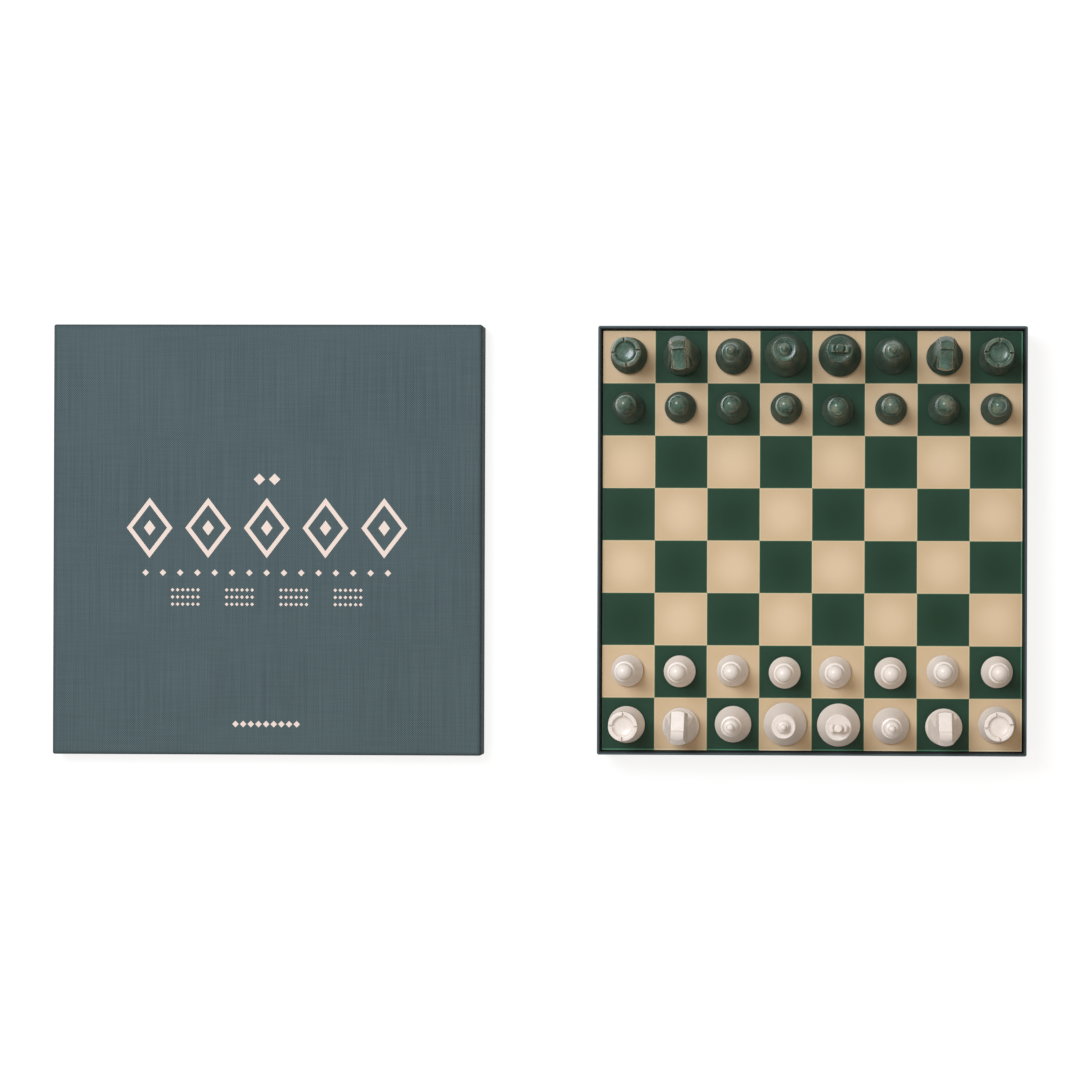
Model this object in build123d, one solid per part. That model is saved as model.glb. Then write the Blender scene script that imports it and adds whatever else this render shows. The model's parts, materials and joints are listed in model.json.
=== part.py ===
"""A chess set in a square cloth-covered box, laid out for play.

The lid lies face up on the table, to the left of the open tray. The chequered board lies in the tray,
just below its rim, over a storage space for the pieces, and the 32 turned wooden pieces stand on it.

Millimetres. +Z is up, +X runs from the lid to the tray, and +Y from the cream side to the green side.
The origin is the middle of the tray's underside.
"""
import os

from build123d import *

# Box: greyboard covered with cloth outside and paper inside
TRAY_WIDTH = 330.0
TRAY_HEIGHT = 43.0
CLOTH = 0.4
GREYBOARD = 1.7
LINING = 0.4
WALL = CLOTH + GREYBOARD + LINING
LID_PLAY = 0.5  # gap between the tray and the lid, each side
LID_WIDTH = TRAY_WIDTH + 2 * (LID_PLAY + WALL)
LID_HEIGHT = 20.5  # a shallow lid, which covers only the upper part of the tray's walls
LID_PLACE = (-425.7, 0.3)  # middle of the lid on the table
CORNER_RADIUS = 1.6  # upright corners, over the cloth
FOLD_RADIUS = 1.2  # folds round the closed face
RIM_RADIUS = 0.8  # outer fold at the open edge
RIM_INNER_RADIUS = 0.3
TURN_IN = 14.0  # cloth turned over the open edge and down inside

# Board: clear sheet over printed squares on a stiff backing
SQUARES = 8
BOARD_WIDTH = 322.8
BOARD_TOP = TRAY_HEIGHT - 1.5
CLEAR_SHEET = 3.0
CLEAR_BEVEL = 0.5
PRINT = 0.2
BACKING = 1.6
BOARD_UNDERSIDE = BOARD_TOP - CLEAR_SHEET - PRINT - BACKING
PITCH = BOARD_WIDTH / SQUARES

# Storage space under the board
LEDGE_WIDTH = 10.0
DIVIDER = 2.0
DIVIDER_PLAY = 0.2
DIVIDER_DROP = 0.5  # the dividers stop this far below the board
FLOOR = WALL
LEDGE_OUTSIDE = TRAY_WIDTH - 2 * WALL
LEDGE_INSIDE = LEDGE_OUTSIDE - 2 * LEDGE_WIDTH

# Pieces: radii and heights above the board
FOOT_EDGE = 0.7  # small round at the foot of every piece
PAWN_FOOT = 12.2
PAWN_BALL = 6.3
PAWN_BALL_HEIGHT = 32.0
ROOK_FOOT = 14.2
ROOK_RING = 11.2
ROOK_HEIGHT = 34.5
ROOK_RIM = 3.2
ROOK_EDGE = 0.4
ROOK_SLOT = 1.6
ROOK_SLOT_DEPTH = 2.4
KNIGHT_FOOT = 14.2
KNIGHT_HEIGHT = 42.0
KNIGHT_RIDGE = 9.4
KNIGHT_CREST = 9.2
BISHOP_FOOT = 14.0
FINIAL_BALL = 3.0
BISHOP_BALL_HEIGHT = 52.0
QUEEN_FOOT = 16.5
QUEEN_CROWN = 9.1
QUEEN_CROWN_HEIGHT = 46.5
QUEEN_BALL_HEIGHT = 54.6
KING_FOOT = 16.5
KING_CROWN = 9.9
KING_CROWN_HEIGHT = 47.0
CROSS_ARM = 6.9
CROSS_THICKNESS = 5.3
CROSS_KNOB = 2.95
CROSS_HEIGHT = 12.5

FILES = "abcdefgh"
BACK_RANK = ["rook", "knight", "bishop", "queen", "king", "bishop", "knight", "rook"]

# How far each piece stands off the middle of its square, files a to h
GREEN_BACK_OFFSETS = [(0.1, 0.7), (0.3, -0.2), (-0.1, 0.2), (-0.2, 1.3),
                      (0.8, 1.2), (0.5, 0.9), (0.5, -0.3), (-0.1, 0.1)]
GREEN_PAWN_OFFSETS = [(-0.4, 1.1), (-0.5, 1.3), (-0.9, 1.1), (0.1, 0.8),
                      (-0.7, -0.4), (-0.2, 0.4), (0.0, 1.1), (-0.2, 0.4)]
CREAM_PAWN_OFFSETS = [(-0.5, 0.7), (-0.5, 0.2), (-0.2, 0.8), (-0.5, -0.5),
                      (-2.2, -0.1), (0.0, -0.6), (-0.5, 1.1), (0.8, 0.5)]
CREAM_BACK_OFFSETS = [(-1.0, -0.5), (0.4, -1.5), (0.3, 0.1), (-0.1, 0.4),
                      (0.7, -0.2), (0.4, -0.6), (0.6, -1.4), (0.6, 0.5)]

# How far each back-rank piece is turned, degrees; round pieces are left at nought
GREEN_TURNS = [6.0, 4.0, 0.0, 0.0, -1.5, 0.0, -1.5, -3.0]
CREAM_TURNS = [-2.0, -1.5, 0.0, 0.0, 1.0, 0.0, 1.2, 8.0]


def upright(width, low, high):
    """A square block centred on Z, from one height to another."""
    return Pos(0, 0, low) * extrude(Rectangle(width, width), high - low)


def quarters(shape, reach):
    """The four parts of a square frame, mitred at the corners."""
    wedge = Pos(0, 0, -reach) * extrude(make_face(Polyline((0, 0), (reach, -reach), (reach, reach), close=True)),
                                        2 * reach)
    return [shape & (Rot(0, 0, 90 * turn) * wedge) for turn in range(4)]


def tray_shell(width, height, corner, fold, rim, base):
    """A block with the outside shape of an open tray: rounded corners, floor edges and outer rim."""
    block = Pos(0, 0, base) * extrude(RectangleRounded(width, width, corner), height)
    block = fillet(block.faces().sort_by(Axis.Z)[0].edges(), fold)
    if rim:
        block = fillet(block.faces().sort_by(Axis.Z)[-1].edges(), rim)
    return block


def rigid_box(width, height):
    """Cloth, floor board, wall boards and paper lining of one open half of the box, opening upwards."""
    inside_boards = width - 2 * (CLOTH + GREYBOARD)
    inside_lining = width - 2 * WALL
    outside = tray_shell(width, height, CORNER_RADIUS, FOLD_RADIUS, RIM_RADIUS, 0)
    core = tray_shell(width - 2 * CLOTH, height - 2 * CLOTH, CORNER_RADIUS - CLOTH, FOLD_RADIUS - CLOTH,
                      0, CLOTH)
    boards = core - upright(inside_boards, CLOTH + GREYBOARD, height)
    floor_board = boards & upright(width, 0, CLOTH + GREYBOARD)
    wall_boards = quarters(boards - upright(width, 0, CLOTH + GREYBOARD), width)

    cover = outside - boards
    cover -= upright(inside_boards, CLOTH + GREYBOARD, height - TURN_IN)
    cover -= upright(inside_lining, CLOTH + GREYBOARD, height)
    inner_rim = cover.edges().filter_by_position(Axis.Z, height - 0.01, height + 0.01)
    inner_rim = inner_rim.filter_by(lambda edge: max(abs(edge.center().X), abs(edge.center().Y))
                                    < inside_lining / 2 + 0.01)
    cover = fillet(inner_rim, RIM_INNER_RADIUS)
    face_panel = cover & upright(width - 4 * FOLD_RADIUS, 0, CLOTH)
    flaps = quarters(cover - upright(width - 4 * FOLD_RADIUS, 0, CLOTH), width)

    floor_paper = upright(inside_boards, CLOTH + GREYBOARD, WALL)
    wall_paper = upright(inside_boards, WALL, height - TURN_IN) - upright(inside_lining, WALL, height)
    return {
        "cloth": [face_panel] + flaps,
        "floor_board": [floor_board],
        "walls": wall_boards,
        "lining": [floor_paper] + quarters(wall_paper, width),
    }


def storage():
    """The ledge that carries the board, and two dividers halved together across the space inside it."""
    ledge = upright(LEDGE_OUTSIDE, FLOOR, BOARD_UNDERSIDE) - upright(LEDGE_INSIDE, FLOOR, BOARD_UNDERSIDE)
    height = BOARD_UNDERSIDE - DIVIDER_DROP - FLOOR
    length = LEDGE_INSIDE - 2 * DIVIDER_PLAY
    slot = DIVIDER + 2 * DIVIDER_PLAY
    card = Pos(0, 0, FLOOR + height / 2) * Box(length, DIVIDER, height)
    upper = Pos(0, 0, FLOOR + 0.75 * height) * Box(slot, DIVIDER, height / 2 + 2 * DIVIDER_PLAY)
    lower = Pos(0, 0, FLOOR + 0.25 * height) * Box(slot, DIVIDER, height / 2)
    return {
        "ledge_frame": quarters(ledge, TRAY_WIDTH),
        "divider_long": [card - upper],
        "divider_cross": [Rot(0, 0, 90) * (card - lower)],
    }


def board():
    """Clear sheet, light and dark squares, and backing, from the top down. The near left square is dark."""
    sheet_base = BOARD_TOP - CLEAR_SHEET
    sheet = upright(BOARD_WIDTH, sheet_base, BOARD_TOP)
    sheet = chamfer(sheet.faces().sort_by(Axis.Z)[-1].edges(), CLEAR_BEVEL)
    colours = {"light_squares": [], "dark_squares": []}
    for column in range(SQUARES):
        for row in range(SQUARES):
            x, y = square_centre(column, row)
            name = "dark_squares" if (column + row) % 2 == 0 else "light_squares"
            colours[name].append(Pos(x, y, sheet_base - PRINT / 2) * Box(PITCH, PITCH, PRINT))
    backing = upright(BOARD_WIDTH, BOARD_UNDERSIDE, BOARD_UNDERSIDE + BACKING)
    return {"board_clear_sheet": [sheet], **colours, "board_backing": [backing]}


def square_centre(column, row):
    """Middle of a square, counted from the near left corner."""
    return (column - 3.5) * PITCH, (row - 3.5) * PITCH


def turned(*steps):
    """A solid turned about Z from its outline of (radius, height) points, starting at the middle of the foot.

    A step that holds two points is an arc through the first to the second.
    """
    edges = []
    here = (0, 0)
    for step in steps:
        if isinstance(step[0], tuple):
            through, end = step
            edges.append(ThreePointArc(here, through, end))
        else:
            end = step
            edges.append(Line(here, end))
        here = end
    edges.append(Line(here, (0, 0)))
    return revolve(Plane.XZ * make_face(edges), Axis.Z)


def round_over(start, corner, end):
    """A step that rounds a square corner of an outline: a quarter circle from start to end."""
    keep = 0.5 ** 0.5
    through = tuple(c + (1 - keep) * (s + e - 2 * c) for s, c, e in zip(start, corner, end))
    return (through, end)


def foot(radius):
    """The first steps of every outline: the underside and a small rounded edge."""
    return [(radius - FOOT_EDGE, 0), round_over((radius - FOOT_EDGE, 0), (radius, 0), (radius, FOOT_EDGE))]


def hollow_side(start, end, depth):
    """A side that curves in by depth at its middle, between two points of an outline."""
    middle = ((start[0] + end[0]) / 2 - depth, (start[1] + end[1]) / 2)
    return (middle, end)


def ball_on_axis(radius, height, join):
    """The arc of a ball from where it joins the piece, a radius on its lower half, over to its top."""
    return ((radius, height), (0, height + radius)), (join, height - (radius**2 - join**2) ** 0.5)


def pawn():
    """A cone, a thin collar and a ball."""
    cap, seat = ball_on_axis(PAWN_BALL, PAWN_BALL_HEIGHT, 3.9)
    return turned(
        *foot(PAWN_FOOT),
        hollow_side((PAWN_FOOT, FOOT_EDGE), (5.6, 24.6), 0.7),
        (7.2, 25.2),
        ((7.9, 25.9), (7.2, 26.6)),
        seat,
        cap,
    )


def rook():
    """A waisted tower with a dished top, and four narrow slots cut through its rim."""
    rim_inside = ROOK_RING - ROOK_RIM
    edge = ROOK_EDGE
    body = Rot(0, 0, 45) * turned(
        *foot(ROOK_FOOT),
        hollow_side((ROOK_FOOT, FOOT_EDGE), (9.4, 25.0), 0.6),
        (ROOK_RING - edge, 27.0),
        (ROOK_RING, 27.0 + edge),
        (ROOK_RING, ROOK_HEIGHT - edge),
        (ROOK_RING - edge, ROOK_HEIGHT),
        (rim_inside + edge, ROOK_HEIGHT),
        (rim_inside, ROOK_HEIGHT - edge),
        (6.2, ROOK_HEIGHT - 3.4),
        (0, ROOK_HEIGHT - 3.8),
    )
    slot_low = ROOK_HEIGHT - ROOK_SLOT_DEPTH
    reach = 2 * ROOK_RIM
    for side in range(4):
        cut = Pos(rim_inside + ROOK_RIM / 2, 0, slot_low + reach / 2) * Box(reach, ROOK_SLOT, reach)
        body -= Rot(0, 0, 90 * side) * cut
    return body


def knight():
    """A turned blank cut to a horse's head that looks along +Y.

    The upper edge of the blank is turned away at the back, the crest rounds over from there to the brow, and
    the brow steps down to a flat face. Two leaning planes leave a narrow ridge, and a wedge is cut out between
    the jaw and the chest.
    """
    blank = turned(
        (KNIGHT_FOOT - FOOT_EDGE, 0),
        ((KNIGHT_FOOT - 0.2, 0.2), (KNIGHT_FOOT, FOOT_EDGE)),
        (KNIGHT_FOOT - 0.2, 1.8),
        (KNIGHT_FOOT - 1.7, 4.2),
        (KNIGHT_FOOT - 1.2, 30.0),
        (KNIGHT_FOOT - 1.2, KNIGHT_HEIGHT + 1),
        (0, KNIGHT_HEIGHT + 1),
    )
    brow = KNIGHT_HEIGHT - 0.3
    face_high = KNIGHT_HEIGHT - 2.6
    profile = make_face([
        Polyline((-9.6, 38.2), (-15.0, 36.0), (-15.0, 0), (15.0, 0), (15.0, 4.4), (12.6, 4.8), (1.6, 24.6)),
        ThreePointArc((1.6, 24.6), (1.9, 26.6), (3.6, 27.4)),
        Polyline((3.6, 27.4), (12.4, 26.8)),
        ThreePointArc((12.4, 26.8), (14.0, 27.2), (15.0, 28.4)),
        Polyline((15.0, 28.4), (15.0, 37.2), (12.6, 37.6), (-0.6, face_high), (-1.2, brow)),
        ThreePointArc((-1.2, brow), (-6.2, 40.8), (-9.6, 38.2)),
    ])
    slab = Plane.YZ * extrude(profile, KNIGHT_FOOT + 1, both=True)
    horse = blank & slab
    low, high = 4.2, KNIGHT_HEIGHT + 4
    spread = 30.0
    back = turned(
        (KNIGHT_FOOT - 1.7, 0),
        (KNIGHT_FOOT - 1.7, low),
        (KNIGHT_FOOT - 1.1, 31.5),
        (KNIGHT_CREST, 38.8),
        (KNIGHT_CREST, high),
        (0, high),
    )
    behind = Pos(0, -spread / 2, (low + high) / 2) * Box(2 * spread, spread, high - low)
    horse -= behind - back
    for side in (-1, 1):
        cheek = make_face(Polyline((side * (KNIGHT_FOOT - 2.1), low), (side * spread, low), (side * spread, high),
                                   (side * KNIGHT_RIDGE / 2, high), (side * (KNIGHT_RIDGE / 2 + 0.3), 36.0),
                                   close=True))
        horse -= Plane.XZ * extrude(cheek, spread, both=True)
    return horse


def bishop():
    """A tall cone, a collar, and a pointed dome with a small ball on its tip."""
    cap, seat = ball_on_axis(FINIAL_BALL, BISHOP_BALL_HEIGHT, 1.7)
    return turned(
        *foot(BISHOP_FOOT),
        hollow_side((BISHOP_FOOT, FOOT_EDGE), (5.3, 33.8), 0.9),
        (7.2, 34.6),
        ((7.9, 35.4), (7.2, 36.2)),
        (4.9, 36.8),
        ((6.2, 41.4), (3.4, 46.6)),
        (1.7, 47.6),
        seat,
        cap,
    )


def queen():
    """A broad cone, a collar, and a dished crown round a small dome and ball."""
    cap, seat = ball_on_axis(FINIAL_BALL, QUEEN_BALL_HEIGHT, 1.7)
    rim = QUEEN_CROWN_HEIGHT
    return turned(
        *foot(QUEEN_FOOT),
        hollow_side((QUEEN_FOOT, FOOT_EDGE), (6.4, 36.6), 1.1),
        (8.6, 37.8),
        ((9.4, 38.6), (8.6, 39.4)),
        (6.3, 40.2),
        ((6.9, 43.4), (QUEEN_CROWN - 0.1, rim - 0.7)),
        round_over((QUEEN_CROWN - 0.1, rim - 0.7), (QUEEN_CROWN - 0.1, rim), (QUEEN_CROWN - 0.8, rim)),
        (QUEEN_CROWN - 2.1, rim - 0.3),
        ((6.4, rim - 1.1), (5.4, rim - 1.4)),
        ((4.9, 48.2), (2.9, 50.0)),
        (1.7, 51.0),
        seat,
        cap,
    )


def king():
    """A broad cone, a collar and a shallow dished crown. The cross is a piece of its own."""
    rim = KING_CROWN_HEIGHT
    return turned(
        *foot(KING_FOOT),
        hollow_side((KING_FOOT, FOOT_EDGE), (6.8, 37.0), 1.1),
        (9.2, 38.4),
        ((10.0, 39.2), (9.2, 40.0)),
        (6.8, 40.8),
        ((7.4, 43.8), (KING_CROWN - 0.1, rim - 0.8)),
        round_over((KING_CROWN - 0.1, rim - 0.8), (KING_CROWN - 0.1, rim), (KING_CROWN - 0.9, rim)),
        (KING_CROWN - 1.2, rim - 0.3),
        (5.0, rim - 0.9),
        (0, rim - 0.9),
    )


def king_cross():
    """A turned spool with a knob on top, flattened front and back so that it reads as a cross."""
    spool = turned(
        (2.6, 0),
        ((2.9, 2.0), (CROSS_ARM - 1.0, 3.4)),
        round_over((CROSS_ARM - 1.0, 3.4), (CROSS_ARM, 3.4), (CROSS_ARM, 4.4)),
        (CROSS_ARM, 6.2),
        round_over((CROSS_ARM, 6.2), (CROSS_ARM, 7.2), (CROSS_ARM - 1.0, 7.2)),
        ((3.2, 7.6), (2.4, 9.2)),
        (CROSS_KNOB, 10.4),
        (CROSS_KNOB, CROSS_HEIGHT - 1.0),
        round_over((CROSS_KNOB, CROSS_HEIGHT - 1.0), (CROSS_KNOB, CROSS_HEIGHT), (CROSS_KNOB - 1.0, CROSS_HEIGHT)),
        (0, CROSS_HEIGHT),
    )
    flat = Pos(0, 0, 3.6 + 2.0) * Box(4 * CROSS_ARM, CROSS_THICKNESS, 2 * (3.6 + 2.0))
    keep = flat + Pos(0, 0, 8.4) * extrude(Circle(CROSS_KNOB + 0.5), CROSS_HEIGHT)
    return spool & keep


def army(colour, back_row, pawn_row, back_offsets, pawn_offsets, turns, facing):
    """The sixteen pieces of one side, each on its square."""
    makers = {"rook": rook(), "knight": knight(), "bishop": bishop(), "queen": queen(), "king": king()}
    plain_pawn = pawn()
    cross = Pos(0, 0, KING_CROWN_HEIGHT - 0.9) * king_cross()
    pieces = {}
    for column, kind in enumerate(BACK_RANK):
        place = placing(column, back_row, back_offsets[column], facing + turns[column])
        name = f"{colour}_{kind}" if kind in ("king", "queen") else f"{colour}_{kind}_{FILES[column]}"
        pieces[name] = [place * makers[kind]]
        if kind == "king":
            pieces[f"{colour}_king_cross"] = [place * cross]
        place = placing(column, pawn_row, pawn_offsets[column], 0)
        pieces[f"{colour}_pawn_{FILES[column]}"] = [place * plain_pawn]
    return pieces


def placing(column, row, offset, turn):
    """The place of a piece on the board, a little off the middle of its square."""
    x, y = square_centre(column, row)
    return Pos(x + offset[0], y + offset[1], BOARD_TOP) * Rot(0, 0, turn)


def chess_set():
    """Every node of the set, as a list of solids under its name."""
    nodes = {}
    tray = rigid_box(TRAY_WIDTH, TRAY_HEIGHT)
    lid = rigid_box(LID_WIDTH, LID_HEIGHT)
    on_table = Pos(*LID_PLACE, LID_HEIGHT) * Rot(180, 0, 0)
    for name, solids in tray.items():
        nodes[f"tray_{name}"] = solids
    for name, solids in lid.items():
        name = "top_board" if name == "floor_board" else name
        nodes[f"lid_{name}"] = [on_table * solid for solid in solids]
    nodes.update(storage())
    nodes.update(board())
    nodes.update(army("green", 7, 6, GREEN_BACK_OFFSETS, GREEN_PAWN_OFFSETS, GREEN_TURNS, 180))
    nodes.update(army("cream", 0, 1, CREAM_BACK_OFFSETS, CREAM_PAWN_OFFSETS, CREAM_TURNS, 0))
    return nodes


def main():
    os.makedirs("parts", exist_ok=True)
    for name, solids in chess_set().items():
        pieces = [solid for shape in solids for solid in shape.solids()]
        shape = pieces[0] if len(pieces) == 1 else Compound(children=pieces)
        shape.label = name
        export_step(shape, f"parts/{name}.step")
        print(f"{name}: {len(pieces)} solid(s)")


main()
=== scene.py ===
# %% [markdown]
# # A chess set in a cloth-covered box
#
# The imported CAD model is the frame: every piece below sits on it, in metres, and rides on one of its bodies.
# The box lies open on a pale floor, its lid to the left, and the board in the tray is set out for play.

# %% Load the frame
import json
import math

import bmesh
import bpy
import numpy as np
from mathutils import Matrix, Vector, noise

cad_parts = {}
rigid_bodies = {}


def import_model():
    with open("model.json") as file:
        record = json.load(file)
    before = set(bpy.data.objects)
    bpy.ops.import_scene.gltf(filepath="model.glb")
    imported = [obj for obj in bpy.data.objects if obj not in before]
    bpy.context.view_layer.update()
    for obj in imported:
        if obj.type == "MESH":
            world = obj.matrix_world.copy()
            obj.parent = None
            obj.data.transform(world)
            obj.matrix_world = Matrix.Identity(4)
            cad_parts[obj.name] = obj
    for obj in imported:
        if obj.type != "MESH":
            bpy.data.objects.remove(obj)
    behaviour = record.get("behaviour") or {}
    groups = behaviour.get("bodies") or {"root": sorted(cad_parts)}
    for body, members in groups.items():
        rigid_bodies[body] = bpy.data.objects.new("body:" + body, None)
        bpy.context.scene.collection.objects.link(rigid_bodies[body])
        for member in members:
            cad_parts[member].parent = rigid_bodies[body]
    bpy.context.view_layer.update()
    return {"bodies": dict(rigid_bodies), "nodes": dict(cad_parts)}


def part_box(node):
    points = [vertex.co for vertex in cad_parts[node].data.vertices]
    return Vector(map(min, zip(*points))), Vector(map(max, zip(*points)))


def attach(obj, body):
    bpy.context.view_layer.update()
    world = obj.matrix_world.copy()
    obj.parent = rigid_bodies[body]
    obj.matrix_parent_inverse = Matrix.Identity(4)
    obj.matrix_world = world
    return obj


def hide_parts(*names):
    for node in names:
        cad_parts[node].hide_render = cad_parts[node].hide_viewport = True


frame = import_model()
MM = 0.001

# %% [markdown]
# ## Tools for objects and meshes
#
# A mesh can be typed in as lists of points, but it is easier to build with bmesh, Blender's editable mesh, or with
# modifiers. Both leave something to clean up, so small functions do that the same way each time.


# %% Objects and meshes
def as_object(name, data):
    """A new object in the scene, from a mesh, a curve, a lamp or a camera."""
    made = bpy.data.objects.new(name, data)
    bpy.context.scene.collection.objects.link(made)
    return made


def as_mesh(name, work):
    """The mesh of a finished bmesh, which is then freed."""
    mesh = bpy.data.meshes.new(name)
    work.to_mesh(mesh)
    work.free()
    return mesh


def after_modifiers(made):
    """The mesh an object has after its modifiers. The object itself is removed."""
    graph = bpy.context.evaluated_depsgraph_get()
    mesh = bpy.data.meshes.new_from_object(made.evaluated_get(graph), depsgraph=graph)
    bpy.data.objects.remove(made)
    return mesh


def box_between(low, high, unit=1.0):
    """A bmesh of the box between two corners."""
    work = bmesh.new()
    bmesh.ops.create_cube(work, size=1.0)
    size = Vector(high) - Vector(low)
    middle = (Vector(high) + Vector(low)) / 2
    work.transform(Matrix.Translation(middle * unit) @ Matrix.Diagonal((*(size * unit), 1)))
    return work


print("tools for objects and meshes ready")

# %% [markdown]
# ## Camera
#
# The camera hangs two metres above the board and looks almost straight down through a long lens, so the pieces
# lean away from the middle of the board. It could be turned to face the middle of the whole set, but then the
# box edges would converge. A lens shift moves the picture across the sensor and keeps the edges parallel.

# %% Camera
camera_data = bpy.data.cameras.new("overhead_camera")
camera_data.sensor_width = 36.0
camera_data.lens = 84.62
camera_data.shift_x = -0.2272
camera_data.shift_y = 0.0546
camera = as_object("overhead_camera", camera_data)
camera.location = (0.0260, -0.0479, 1.991)
camera.rotation_euler = [math.radians(angle) for angle in (0.096, 1.360, 0.187)]
bpy.context.scene.camera = camera
print("camera at", [round(v, 3) for v in camera.location])

# %% [markdown]
# ## Tools for materials
#
# Colours are written as sRGB hex, the way a paint maker would quote them, and one function turns them to the
# linear values that Blender computes with. One function adds a node of any kind, sets it and links it in a single
# call, and hands back the output that the next node needs. Most surfaces below are a colour with others laid over
# it, as paint is, so the last function lays coats.


# %% Colours and nodes
MATH, MIX, REMAP = "ShaderNodeMath", "ShaderNodeMix", "ShaderNodeMapRange"
NOISE, PLACE, SPLIT = "ShaderNodeTexNoise", "ShaderNodeTexCoord", "ShaderNodeSeparateXYZ"
BUMP, PRINCIPLED, OUTPUT = "ShaderNodeBump", "ShaderNodeBsdfPrincipled", "ShaderNodeOutputMaterial"


def linear(code):
    """The linear colour of an sRGB hex code."""
    channels = [int(code[i:i + 2], 16) / 255 for i in (1, 3, 5)]
    return tuple(c / 12.92 if c <= 0.04045 else ((c + 0.055) / 1.055) ** 2.4 for c in channels) + (1.0,)


def add(tree, kind, inputs=(), out=0, **settings):
    """An output of a new node, or all of them if out is None.

    The inputs come as a list in their order, or as a dict by name or number. Each is a value or an output.
    """
    node = tree.nodes.new(kind)
    for name, value in settings.items():
        setattr(node, name, value)
    for key, value in (inputs if isinstance(inputs, dict) else dict(enumerate(inputs))).items():
        if isinstance(value, bpy.types.NodeSocket):
            tree.links.new(value, node.inputs[key])
        else:
            node.inputs[key].default_value = value
    return node.outputs if out is None else node.outputs[out]


def new_material(name):
    """An empty material and its node tree."""
    material = bpy.data.materials.new(name)
    material.use_nodes = True
    material.node_tree.nodes.clear()
    return material, material.node_tree


def coats(tree, colour, *layers):
    """A colour with others laid over it in turn. Each layer is how much there is of it, and its hex code."""
    for amount, code in layers:
        colour = add(tree, MIX, {0: amount, 6: colour, 7: linear(code)}, out=2, data_type="RGBA")
    return colour


print("a mid grey of #808080 is", round(linear("#808080")[0], 3))

# %% [markdown]
# ## Book cloth
#
# The box is covered with book cloth: a plain cotton weave, starched and glued over board. It could be a bump
# alone, but the eye reads the cloth from its thread colours: each crossing shows either the warp or the weft.
# So the weave is drawn twice, in the colour and in the bump, and long uneven threads called slubs run both ways.
# Along each fold, and on the outer side of the open edge, the cloth is painted darker: painted shade where it
# turns over a board.
# A real thread is about 0.4 mm. That is finer than the picture can show, so the crossings are drawn 0.9 mm apart.


# %% Book cloth
THREAD = 0.9 * MM


def woven(tree, place):
    """A plain weave: one where the warp lies on top, nought where the weft does."""
    parts = add(tree, SPLIT, [place], out=None)
    waves = []
    for part in parts[:2]:
        phase = add(tree, MATH, [part, math.pi / THREAD], operation="MULTIPLY")
        waves.append(add(tree, MATH, [phase], operation="SINE"))
    both = add(tree, MATH, waves, operation="MULTIPLY")
    return add(tree, MATH, [both, 0.5, 0.5], operation="MULTIPLY_ADD")


def book_cloth():
    """Woven grey-teal cotton, dyed and starched, so it is matte with a faint sheen."""
    material, tree = new_material("book_cloth_woven_cotton")
    place = add(tree, "ShaderNodeUVMap", uv_map="cloth")
    crossing = woven(tree, place)
    slubs, thick = [], []
    warp, weft = (1 / (1.0 * MM), 1 / (80 * MM), 1), (1 / (40 * MM), 1 / (1.4 * MM), 1)
    for stretch, strength in ((warp, 0.30), (weft, 0.12)):
        stretched = add(tree, "ShaderNodeMapping", {"Vector": place, "Scale": stretch})
        slubs.append(add(tree, NOISE, {"Vector": stretched, "Scale": 1.0, "Detail": 2.0}, noise_dimensions="2D"))
        thick.append(add(tree, REMAP, [slubs[-1], 0.30, 0.70, 0.0, strength]))
    uneven = add(tree, MATH, thick, operation="ADD")
    worn = add(tree, NOISE, {"Vector": place, "Scale": 14.0, "Detail": 3.0}, noise_dimensions="2D")
    patchy = add(tree, REMAP, [worn, 0.35, 0.65, 0.0, 0.10])
    # painted shade: the cloth is darker along its folds and on the outer side of its open edge
    fold = add(tree, "ShaderNodeAttribute", out="Fac", attribute_name="fold")
    painted_fold_shade = add(tree, MATH, [fold, 0.75], operation="MULTIPLY")
    colour = coats(tree, linear("#35464B"), (crossing, "#5D7277"), (uneven, "#293A3F"), (patchy, "#5F7276"),
                   (painted_fold_shade, "#1E2A2D"))
    height = add(tree, MATH, [slubs[0], 0.6, crossing], operation="MULTIPLY_ADD")
    bump = add(tree, BUMP, {"Height": height, "Strength": 0.35, "Distance": 0.12 * MM})
    shader = add(tree, PRINCIPLED, {"Base Color": colour, "Roughness": 0.82, "Normal": bump, "IOR": 1.46,
                                    "Sheen Weight": 0.08, "Sheen Roughness": 0.5})
    add(tree, OUTPUT, [shader], out=None)
    return material


cloth = book_cloth()
print("material:", cloth.name)

# %% [markdown]
# ## Board, paper and card
#
# Under the cloth is greyboard, pressed from waste paper, with small flecks in it. The inside is lined with dark
# paper, and the ledge and dividers are card wrapped in the same paper. One function makes them all: their
# colours and the size of their flecks are all that differs.


# %% Paper and card
def paper(name, colour, fleck, fleck_size):
    """Matte pressed paper: a base colour with flecks of another, and a slightly uneven surface."""
    material, tree = new_material(name)
    place = add(tree, PLACE, out="Object")
    flecks = add(tree, NOISE, {"Vector": place, "Scale": 1 / fleck_size, "Detail": 4.0})
    amount = add(tree, REMAP, [flecks, 0.45, 0.75, 0.0, 1.0])
    bump = add(tree, BUMP, {"Height": flecks, "Strength": 0.2, "Distance": 0.1 * MM})
    shader = add(tree, PRINCIPLED, {"Base Color": coats(tree, linear(colour), (amount, fleck)),
                                    "Roughness": 0.9, "Normal": bump, "IOR": 1.45})
    add(tree, OUTPUT, [shader], out=None)
    return material


greyboard = paper("greyboard_pressed_pulp", "#8F8B84", "#6E6A63", 1.2 * MM)
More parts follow.
